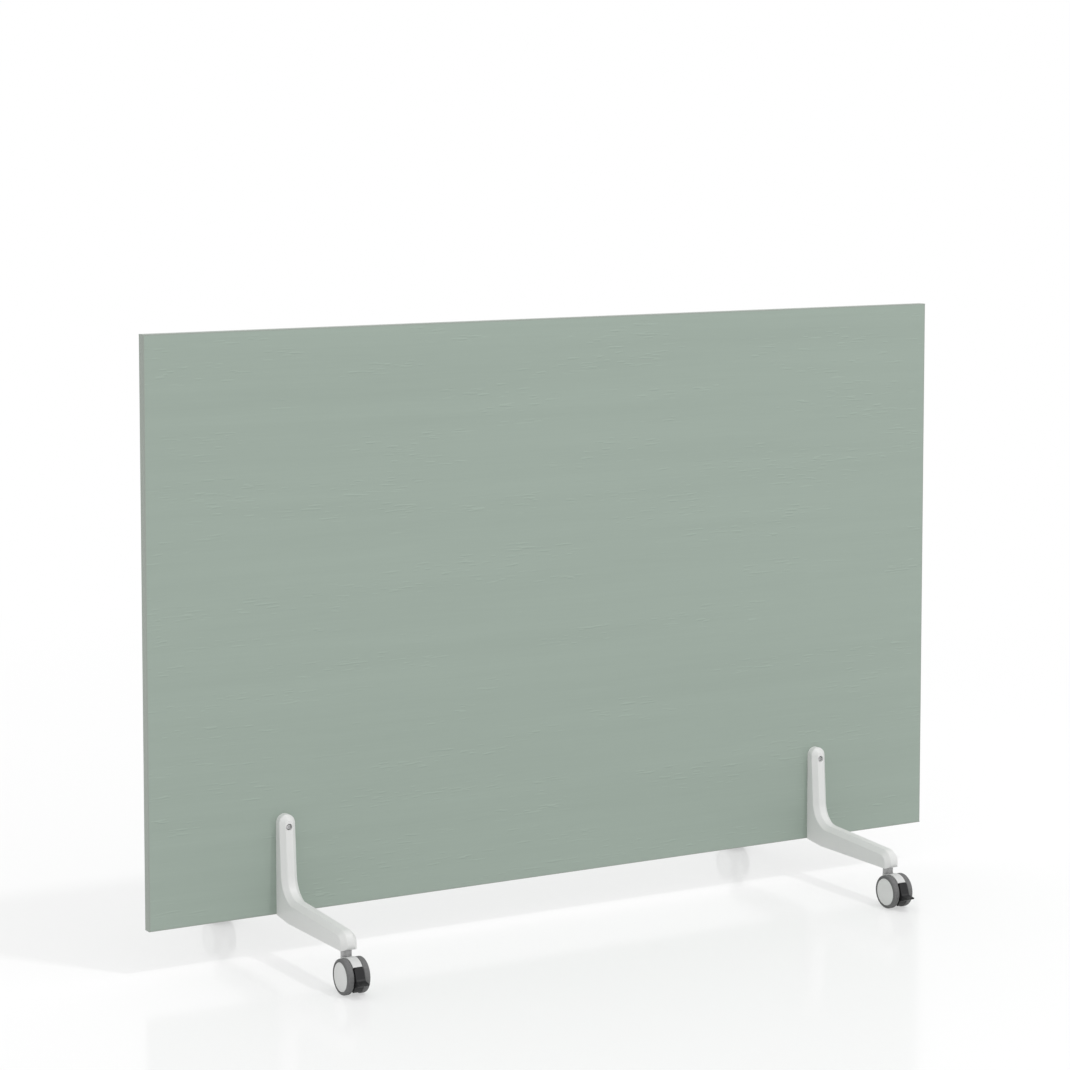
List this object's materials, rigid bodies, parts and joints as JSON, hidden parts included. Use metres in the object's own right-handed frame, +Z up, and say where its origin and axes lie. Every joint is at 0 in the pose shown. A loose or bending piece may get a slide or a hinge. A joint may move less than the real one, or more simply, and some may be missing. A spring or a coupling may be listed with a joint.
{
  "type": "room divider on wheels",
  "caption": "Free-standing mobile room divider: a flat laminated board between bolted cast arms on braked twin-wheel swivel casters.",
  "frame": {"origin": "on the floor, under the middle of the board", "axes": "+Z up, X along the board, front of the board towards -Y"},
  "size_m": [1.6, 0.625, 1.0765],
  "materials": {
    "green_laminate": "matte",
    "green_edge_band": "matte",
    "board_core": "matte",
    "white_powder_coat": "matte",
    "dark_steel": "satin",
    "zinc_steel": "satin",
    "light_grey_plastic": "satin",
    "grey_tyre": "matte",
    "black_plastic": "satin"
  },
  "bodies": {
    "frame": {"panel_core": "board_core", "front_face_sheet": "green_laminate", "rear_face_sheet": "green_laminate", "edge_band_top": "green_edge_band", "edge_band_bottom": "green_edge_band", "edge_band_left": "green_edge_band", "edge_band_right": "green_edge_band", "arm_front_left": "white_powder_coat", "arm_front_right": "white_powder_coat", "arm_rear_left": "white_powder_coat", "arm_rear_right": "white_powder_coat", "upper_bolts": "dark_steel", "upper_sleeve_nuts": "dark_steel", "lower_tie_bolts": "zinc_steel", "lower_tie_nuts": "zinc_steel", "lower_tie_washers": "zinc_steel", "caster_stems": "zinc_steel", "stem_grip_rings": "zinc_steel"},
    "front_left_caster": {"front_left_hood": "light_grey_plastic", "front_left_axle": "zinc_steel", "front_left_pedal_pin": "zinc_steel"},
    "front_left_pedal": {"front_left_brake_pedal": "black_plastic"},
    "front_left_outer_wheel": {"front_left_outer_rim": "light_grey_plastic", "front_left_outer_tyre": "grey_tyre", "front_left_outer_cap": "light_grey_plastic"},
    "front_left_inner_wheel": {"front_left_inner_rim": "light_grey_plastic", "front_left_inner_tyre": "grey_tyre", "front_left_inner_cap": "light_grey_plastic"},
    "front_right_caster": {"front_right_hood": "light_grey_plastic", "front_right_axle": "zinc_steel", "front_right_pedal_pin": "zinc_steel"},
    "front_right_pedal": {"front_right_brake_pedal": "black_plastic"},
    "front_right_outer_wheel": {"front_right_outer_rim": "light_grey_plastic", "front_right_outer_tyre": "grey_tyre", "front_right_outer_cap": "light_grey_plastic"},
    "front_right_inner_wheel": {"front_right_inner_rim": "light_grey_plastic", "front_right_inner_tyre": "grey_tyre", "front_right_inner_cap": "light_grey_plastic"},
    "rear_left_caster": {"rear_left_hood": "light_grey_plastic", "rear_left_axle": "zinc_steel", "rear_left_pedal_pin": "zinc_steel"},
    "rear_left_pedal": {"rear_left_brake_pedal": "black_plastic"},
    "rear_left_outer_wheel": {"rear_left_outer_rim": "light_grey_plastic", "rear_left_outer_tyre": "grey_tyre", "rear_left_outer_cap": "light_grey_plastic"},
    "rear_left_inner_wheel": {"rear_left_inner_rim": "light_grey_plastic", "rear_left_inner_tyre": "grey_tyre", "rear_left_inner_cap": "light_grey_plastic"},
    "rear_right_caster": {"rear_right_hood": "light_grey_plastic", "rear_right_axle": "zinc_steel", "rear_right_pedal_pin": "zinc_steel"},
    "rear_right_pedal": {"rear_right_brake_pedal": "black_plastic"},
    "rear_right_outer_wheel": {"rear_right_outer_rim": "light_grey_plastic", "rear_right_outer_tyre": "grey_tyre", "rear_right_outer_cap": "light_grey_plastic"},
    "rear_right_inner_wheel": {"rear_right_inner_rim": "light_grey_plastic", "rear_right_inner_tyre": "grey_tyre", "rear_right_inner_cap": "light_grey_plastic"}
  },
  "joints": [
    {"name": "front_left_swivel", "type": "hinge", "parent": "frame", "child": "front_left_caster", "pos_m": [-0.551, -0.243, 0.0453], "axis": [0, 0, 1], "continuous": true},
    {"name": "front_left_outer_roll", "type": "hinge", "parent": "front_left_caster", "child": "front_left_outer_wheel", "pos_m": [-0.551, -0.2625, 0.03], "axis": [1, 0, 0], "continuous": true},
    {"name": "front_left_inner_roll", "type": "hinge", "parent": "front_left_caster", "child": "front_left_inner_wheel", "pos_m": [-0.551, -0.2625, 0.03], "axis": [1, 0, 0], "continuous": true},
    {"name": "front_left_brake", "type": "hinge", "parent": "front_left_caster", "child": "front_left_pedal", "pos_m": [-0.551, -0.27664, 0.0215], "axis": [1, 0, 0], "range_deg": [0, 15]},
    {"name": "front_right_swivel", "type": "hinge", "parent": "frame", "child": "front_right_caster", "pos_m": [0.551, -0.243, 0.0453], "axis": [0, 0, 1], "continuous": true},
    {"name": "front_right_outer_roll", "type": "hinge", "parent": "front_right_caster", "child": "front_right_outer_wheel", "pos_m": [0.551, -0.2625, 0.03], "axis": [1, 0, 0], "continuous": true},
    {"name": "front_right_inner_roll", "type": "hinge", "parent": "front_right_caster", "child": "front_right_inner_wheel", "pos_m": [0.551, -0.2625, 0.03], "axis": [1, 0, 0], "continuous": true},
    {"name": "front_right_brake", "type": "hinge", "parent": "front_right_caster", "child": "front_right_pedal", "pos_m": [0.551, -0.27664, 0.0215], "axis": [1, 0, 0], "range_deg": [0, 15]},
    {"name": "rear_left_swivel", "type": "hinge", "parent": "frame", "child": "rear_left_caster", "pos_m": [-0.551, 0.243, 0.0453], "axis": [0, 0, 1], "continuous": true},
    {"name": "rear_left_outer_roll", "type": "hinge", "parent": "rear_left_caster", "child": "rear_left_outer_wheel", "pos_m": [-0.551, 0.2625, 0.03], "axis": [1, 0, 0], "continuous": true},
    {"name": "rear_left_inner_roll", "type": "hinge", "parent": "rear_left_caster", "child": "rear_left_inner_wheel", "pos_m": [-0.551, 0.2625, 0.03], "axis": [1, 0, 0], "continuous": true},
    {"name": "rear_left_brake", "type": "hinge", "parent": "rear_left_caster", "child": "rear_left_pedal", "pos_m": [-0.551, 0.27664, 0.0215], "axis": [-1, 0, 0], "range_deg": [0, 15]},
    {"name": "rear_right_swivel", "type": "hinge", "parent": "frame", "child": "rear_right_caster", "pos_m": [0.551, 0.243, 0.0453], "axis": [0, 0, 1], "continuous": true},
    {"name": "rear_right_outer_roll", "type": "hinge", "parent": "rear_right_caster", "child": "rear_right_outer_wheel", "pos_m": [0.551, 0.2625, 0.03], "axis": [1, 0, 0], "continuous": true},
    {"name": "rear_right_inner_roll", "type": "hinge", "parent": "rear_right_caster", "child": "rear_right_inner_wheel", "pos_m": [0.551, 0.2625, 0.03], "axis": [1, 0, 0], "continuous": true},
    {"name": "rear_right_brake", "type": "hinge", "parent": "rear_right_caster", "child": "rear_right_pedal", "pos_m": [0.551, 0.27664, 0.0215], "axis": [-1, 0, 0], "range_deg": [0, 15]}
  ]
}
